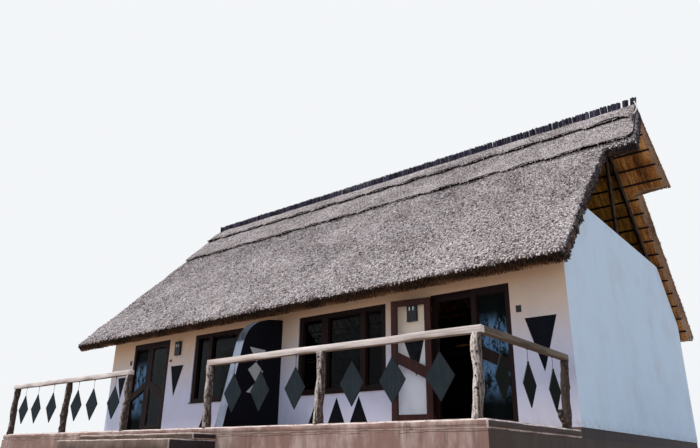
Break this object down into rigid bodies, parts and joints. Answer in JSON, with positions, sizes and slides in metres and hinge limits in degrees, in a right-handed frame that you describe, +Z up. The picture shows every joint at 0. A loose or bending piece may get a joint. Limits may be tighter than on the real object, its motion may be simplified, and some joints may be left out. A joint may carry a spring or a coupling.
{
  "type": "thatched double chalet",
  "caption": "Thatched double chalet with whitewashed walls, glazed doors and windows, a hooded steep thatch roof and a raised railed veranda with steps.",
  "frame": {"origin": "ground level under the front face of the front wall, at the wing wall in the middle of the house", "axes": "+X to the right along the front seen from the veranda, +Y from the veranda to the back, +Z up"},
  "size_m": [12.6808, 11.1555, 7.1107],
  "materials": {
    "limewash": "matt plaster",
    "oxide_plinth": "oxide-tinted cement screed",
    "step_cement": "dark cement",
    "thatch": "weathered grass thatch",
    "ridge_thatch": "stitched ridge thatch",
    "ridge_stakes": "dark weathered stakes",
    "roof_pole": "debarked poles",
    "mahogany_frame": "dark stained timber",
    "clear_glass": "clear float glass",
    "bleached_rail": "sun-bleached timber",
    "bark_post": "rough log",
    "slate_plate": "matt grey paint",
    "black_metal": "matt black paint"
  },
  "bodies": {
    "house": {"house_plinth": "oxide_plinth", "floor_slab": "oxide_plinth", "veranda_plinth": "oxide_plinth", "veranda_topping": "oxide_plinth", "front_steps": "step_cement", "front_wall_left_end": "limewash", "front_wall_right_end": "limewash", "front_wall_centre": "limewash", "left_door_lintel": "limewash", "right_door_lintel": "limewash", "back_wall": "limewash", "left_gable_wall": "limewash", "right_gable_wall": "limewash", "cross_wall": "limewash", "wing_wall": "limewash", "wall_plates": "roof_pole", "ridge_pole": "roof_pole", "rafters_front": "roof_pole", "rafters_back": "roof_pole", "laths_front": "roof_pole", "laths_back": "roof_pole", "thatch_front": "thatch", "thatch_back": "thatch", "ridge_cap": "ridge_thatch", "ridge_comb": "ridge_stakes", "left_gable_frame": "roof_pole", "right_gable_frame": "roof_pole", "gable_glass": "clear_glass", "left_door_frame": "mahogany_frame", "right_door_frame": "mahogany_frame", "sidelight_glass": "clear_glass", "door_hinges": "black_metal", "left_window_frame": "mahogany_frame", "right_window_frame": "mahogany_frame", "window_glass": "clear_glass", "top_rails": "bleached_rail", "rail_posts_left": "bark_post", "rail_posts_right": "bark_post", "diamonds_left": "slate_plate", "diamonds_right": "slate_plate", "wall_lamps": "black_metal"},
    "right_door": {"right_door_leaf": "mahogany_frame", "right_door_glass": "clear_glass"},
    "left_door": {"left_door_leaf": "mahogany_frame", "left_door_glass": "clear_glass"}
  },
  "joints": [
    {"name": "right_door_hinge", "type": "hinge", "parent": "house", "child": "right_door", "pos_m": [3.432, -0.012, 0.75], "axis": [0, 0, 1], "range_deg": [0, 171]},
    {"name": "left_door_hinge", "type": "hinge", "parent": "house", "child": "left_door", "pos_m": [-3.432, -0.012, 0.75], "axis": [0, 0, 1], "range_deg": [0, 171]}
  ]
}
